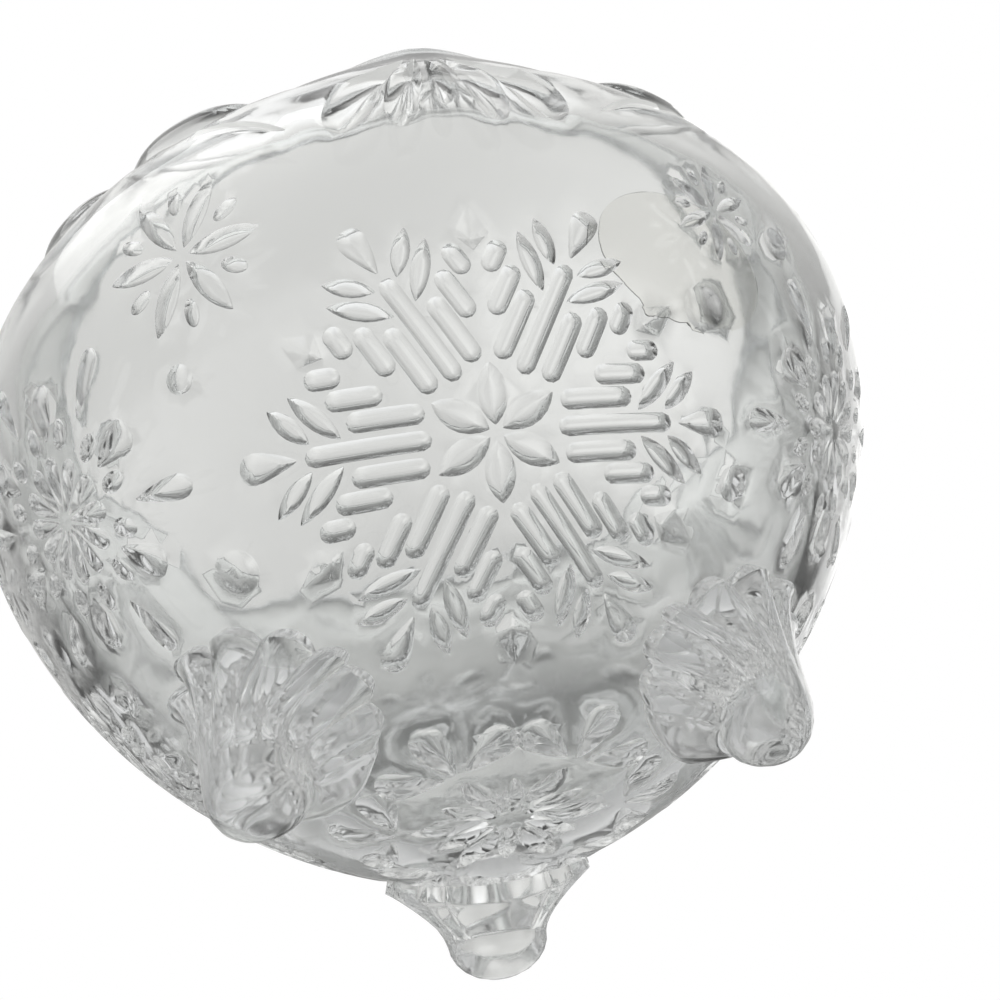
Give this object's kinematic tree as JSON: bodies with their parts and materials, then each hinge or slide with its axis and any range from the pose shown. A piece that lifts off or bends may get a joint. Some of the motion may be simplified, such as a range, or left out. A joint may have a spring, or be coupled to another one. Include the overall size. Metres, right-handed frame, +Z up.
{
  "type": "votive candle holder bowl",
  "caption": "Clear pressed-glass bowl for floating or votive candles, with a scalloped rim, fluted rim fans and scallop-shell feet.",
  "frame": {"origin": "on the surface the feet stand on, under the centre of the bowl", "axes": "+Z up along the bowl's axis, -Y towards one of the rim fans; the feet are at 60, 180 and 300 degrees from it"},
  "size_m": [0.1398, 0.1399, 0.0907],
  "materials": {
    "bowl": "clear pressed glass, fire polished",
    "foot_1": "clear pressed glass, fire polished",
    "foot_2": "clear pressed glass, fire polished",
    "foot_3": "clear pressed glass, fire polished",
    "care_label": "thin clear film sticker"
  },
  "bodies": {
    "root": {"bowl": "bowl", "foot_1": "foot_1", "foot_2": "foot_2", "foot_3": "foot_3", "care_label": "care_label"}
  },
  "joints": []
}
